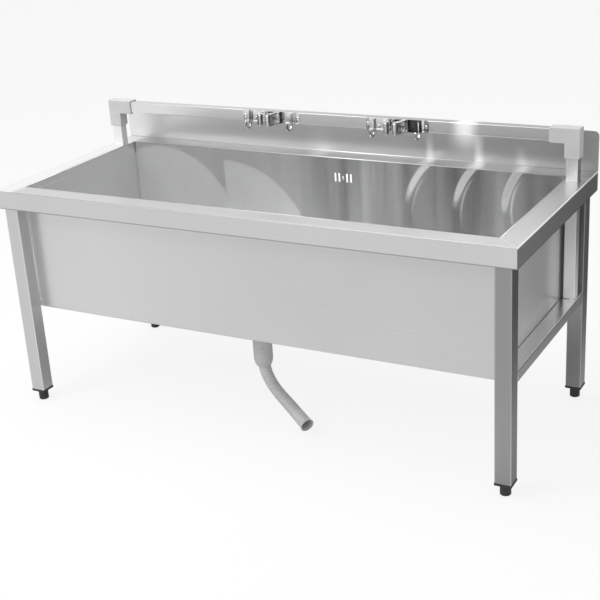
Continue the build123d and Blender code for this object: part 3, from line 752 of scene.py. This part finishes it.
# %% Tack welds between the tub and the legs
tack_heights = (0.288, 0.367, 0.461)
tack_size = (0.0026, 0.0020, 0.0034)
joint_radius = 0.0007
tub_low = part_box("basin")[0].z
shape = bmesh.new()
for side in (-1, 1):
    for end, leg_name in ((-1, "front"), (1, "back")):
        leg_low, leg_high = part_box("leg_" + leg_name + ("_left" if side < 0 else "_right"))
        joint_x = side * min(abs(leg_low.x), abs(leg_high.x))
        joint_y = opening_low.y if end < 0 else opening_high.y
        add_bar(shape, (joint_x, joint_y, tub_low + 0.008), (joint_x, joint_y, fascia_low), joint_radius)
        for height in tack_heights:
            add_dot(shape, (joint_x, joint_y, height), tack_size)
place_piece(finish_piece("leg_tack_welds", shape), "bright_weld", "stand")

# %% Fillet welds of the stretchers, the posts and the splash
fillet_radius = 0.0016
splash_weld_radius = 0.0012
shape = bmesh.new()
for side_name, side in (("left", -1), ("right", 1)):
    low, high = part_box("side_stretcher_" + side_name)
    for y, shift in ((low.y, 0.0006), (high.y, -0.0006)):
        for z in (low.z + 0.002, high.z - 0.002):
            add_bar(shape, (low.x + 0.003, y + shift, z), (high.x - 0.003, y + shift, z), fillet_radius)
        for x in (low.x + 0.001, high.x - 0.001):
            add_bar(shape, (x, y + shift, low.z + 0.003), (x, y + shift, high.z - 0.003), fillet_radius * 0.7)
    low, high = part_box("upright_" + side_name)
    for x0, y0, x1, y1 in ((low.x, low.y, high.x, low.y), (low.x, high.y, high.x, high.y),
                           (low.x, low.y, low.x, high.y), (high.x, low.y, high.x, high.y)):
        add_bar(shape, (x0, y0, low.z + 0.0004), (x1, y1, low.z + 0.0004), fillet_radius)
add_bar(shape, (-half_length + 0.004, splash_front, rim_top + 0.0002),
        (half_length - 0.004, splash_front, rim_top + 0.0002), splash_weld_radius)
place_piece(finish_piece("fillet_welds", shape), "bright_weld", "stand")

# %% [markdown]
# ## The holders' springs and screws
#
# Each jaw has a torsion spring on its pivot. The solid in the model is a beaded sleeve, because a real coil has far
# more faces than a check needs. Here it is wound: a small circle is spun round the pin while it climbs, which gives a
# helix, and it gets two straight legs. One runs back to the bracket. The other runs forward, but stops short of the
# jaw.

# %% Wound springs
wire_radius = 0.0006
coil_radius = 0.0034
coil_turns = 5
steps_a_turn = 20
pin_search = 0.004


def spring_centre(name):
    """The middle of a spring's coil: the middle of the pin that runs through it."""
    low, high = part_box(name)
    pin = [vertex.co for vertex in nodes["jaw_pivot_pins"].data.vertices
           if low.x - pin_search < vertex.co.x < high.x + pin_search
           and low.y - pin_search < vertex.co.y < high.y + pin_search]
    lowest = Vector(min(co[axis] for co in pin) for axis in range(3))
    highest = Vector(max(co[axis] for co in pin) for axis in range(3))
    return (lowest + highest) / 2


for holder in ("a", "b"):
    for side_name in ("left", "right"):
        node_name = "jaw_spring_" + holder + "_" + side_name
        middle = spring_centre(node_name)
        low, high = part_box(node_name)
        climb = coil_turns * 2 * wire_radius
        shape = bmesh.new()
        start = middle + Vector((coil_radius, 0, -climb / 2))
        ring = bmesh.ops.create_circle(shape, segments=8, radius=wire_radius,
                                       matrix=Matrix.Translation(start) @ Matrix.Rotation(pi / 2, 4, "X"))["verts"]
        edges = list({edge for vertex in ring for edge in vertex.link_edges})
        bmesh.ops.spin(shape, geom=ring + edges, cent=middle, axis=(0, 0, 1), angle=2 * pi * coil_turns,
                       steps=steps_a_turn * coil_turns, dvec=(0, 0, climb / (steps_a_turn * coil_turns)),
                       use_merge=False)
        bmesh.ops.recalc_face_normals(shape, faces=shape.faces[:])
        out_x = high.x - 0.0005 if side_name == "right" else low.x + 0.0005
        coil_side = coil_radius if side_name == "right" else -coil_radius
        add_bar(shape, (middle.x + coil_side, middle.y, middle.z - climb / 2),
                (middle.x + coil_side, high.y - 0.0012, middle.z - climb / 2), wire_radius, 8)
        reach = Vector(((low.x if side_name == "right" else high.x) - middle.x, low.y - middle.y, 0)) * 0.85
        add_bar(shape, (middle.x + coil_side * 0.9, middle.y - 0.0008, middle.z + climb / 2),
                (middle.x + reach.x * 0.2 + coil_side * 0.8, middle.y + reach.y, middle.z + climb / 2), wire_radius, 8)
        spring = finish_piece("wound_spring_" + holder + "_" + side_name, shape)
        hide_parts(node_name)
        place_piece(spring, "wire", "stand")

# %% [markdown]
# Each screw has a cross-shaped recess. At this size it only shows as a dark cross, so two thin black bars lie in the
# head: painted shade of the recess.

# %% The recess of each screw
recess_half, recess_wide = 0.0019, 0.0007
screw_offset = 0.080
screw_low, screw_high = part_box("holder_screws")
shape = bmesh.new()
screw_z = (screw_low.z + screw_high.z) / 2
for holder in ("a", "b"):
    plate_low, plate_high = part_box("holder_plate_" + holder)
    middle_x = (plate_low.x + plate_high.x) / 2
    for end in (-1, 1):
        for turn in (pi / 4, -pi / 4):
            flat = (Matrix.Translation((middle_x + end * screw_offset, screw_low.y + 0.0001, screw_z))
                    @ Matrix.Rotation(turn, 4, "Y") @ Matrix.Diagonal((2 * recess_half, 0.0004, recess_wide, 1)))
            bmesh.ops.create_cube(shape, size=1.0, matrix=flat)
place_piece(finish_piece("screw_recess_painted_shade", shape, smooth=False), "seal", "stand")

# %% [markdown]
# ## The hose
#
# The waste hose is a ribbed tube that ends in a smooth cuff. It is limp, so it hangs from the nut and swings forward
# in one slow bend, as in the photograph, where all of it shows. Its line is a smooth spline over a few given
# points. The ribs follow the line, so the tube is built ring by ring along points read from the spline, each ring
# wider or narrower by a sine of the distance so far.

# %% The hose's line
hose_route = [
    (-0.0200, -0.1500, 0.1870),
    (-0.0200, -0.1500, 0.1560),
    (-0.0112, -0.1500, 0.1252),
    (0.0073, -0.1513, 0.0967),
    (0.0326, -0.1558, 0.0744),
    (0.0594, -0.1655, 0.0599),
    (0.0858, -0.1807, 0.0505),
]
hose_radius = 0.016
rib_pitch = 0.0052
rib_depth = 0.0015
curve_resolution = 40


def spline_points(route, steps):
    """Evenly spread points on a smooth spline whose control points are the route."""
    curve = bpy.data.curves.new("hose_line", "CURVE")
    curve.dimensions = "3D"
    spline = curve.splines.new("NURBS")
    spline.points.add(len(route) - 1)
    for point, place in zip(spline.points, route):
        point.co = (*place, 1.0)
    spline.order_u = 3
    spline.use_endpoint_u = True
    spline.resolution_u = curve_resolution
    line = bpy.data.objects.new("hose_line", curve)
    scene.collection.objects.link(line)
    sampled = bpy.data.meshes.new_from_object(line)
    raw = [vertex.co.copy() for vertex in sampled.vertices]
    bpy.data.objects.remove(line)
    bpy.data.meshes.remove(sampled)
    travelled = [0.0]
    for before, after in zip(raw, raw[1:]):
        travelled.append(travelled[-1] + (after - before).length)
    points, index = [], 0
    for step in range(steps + 1):
        goal = travelled[-1] * step / steps
        while index < len(raw) - 2 and travelled[index + 1] < goal:
            index += 1
        span = travelled[index + 1] - travelled[index]
        points.append(raw[index].lerp(raw[index + 1], (goal - travelled[index]) / span))
    return points, travelled[-1]


# %% Rings along a line
def frames_along(points):
    """A matrix at each point, with Z along the line and no twist between neighbours."""
    found = []
    side = Vector((0, 1, 0))
    for index, point in enumerate(points):
        ahead_of = points[min(index + 1, len(points) - 1)] - points[max(index - 1, 0)]
        forward = ahead_of.normalized()
        side = (side - forward * side.dot(forward)).normalized()
        found.append(Matrix((side, forward.cross(side), forward)).transposed().to_4x4())
        found[-1].translation = point
    return found


def ringed_tube(name, places, radii, wall, sides):
    """An open tube made of one circle that is extruded from place to place, with a wall inside."""
    shape = bmesh.new()
    bmesh.ops.create_circle(shape, segments=sides, radius=1.0)
    loop = shape.edges[:]
    last = Matrix.Identity(4)
    for place, radius in zip(places, radii):
        stand = place @ Matrix.Diagonal((radius, radius, 1, 1))
        if place is not places[0]:
            grown = bmesh.ops.extrude_edge_only(shape, edges=loop)["geom"]
            loop = [part for part in grown if isinstance(part, bmesh.types.BMEdge)]
        ring = list({vertex for edge in loop for vertex in edge.verts})
        bmesh.ops.transform(shape, matrix=stand @ last.inverted(), verts=ring)
        last = stand
    bmesh.ops.recalc_face_normals(shape, faces=shape.faces[:])
    bmesh.ops.solidify(shape, geom=shape.faces[:], thickness=wall)
    return finish_piece(name, shape)


# %% The ribbed hose
ring_steps = 296
hose_wall = 0.0009
hose_sides = 40
hose_points, hose_length = spline_points(hose_route, ring_steps)
plain_ends = 0.004
radii = []
for step in range(ring_steps + 1):
    gone = hose_length * step / ring_steps
    from_end = min(gone, hose_length - gone)
    ribbed = min(1.0, from_end / plain_ends)
    radii.append(hose_radius - rib_depth * ribbed * (0.5 - 0.5 * cos(2 * pi * gone / rib_pitch)))
hose = ringed_tube("ribbed_hose", frames_along(hose_points), radii, hose_wall, hose_sides)
hose.data.materials.append(finishes["hose"])
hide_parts("drain_hose")
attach(hose, "stand")
print("hose", round(hose_length, 4), "m,", len(hose.data.vertices), "points")
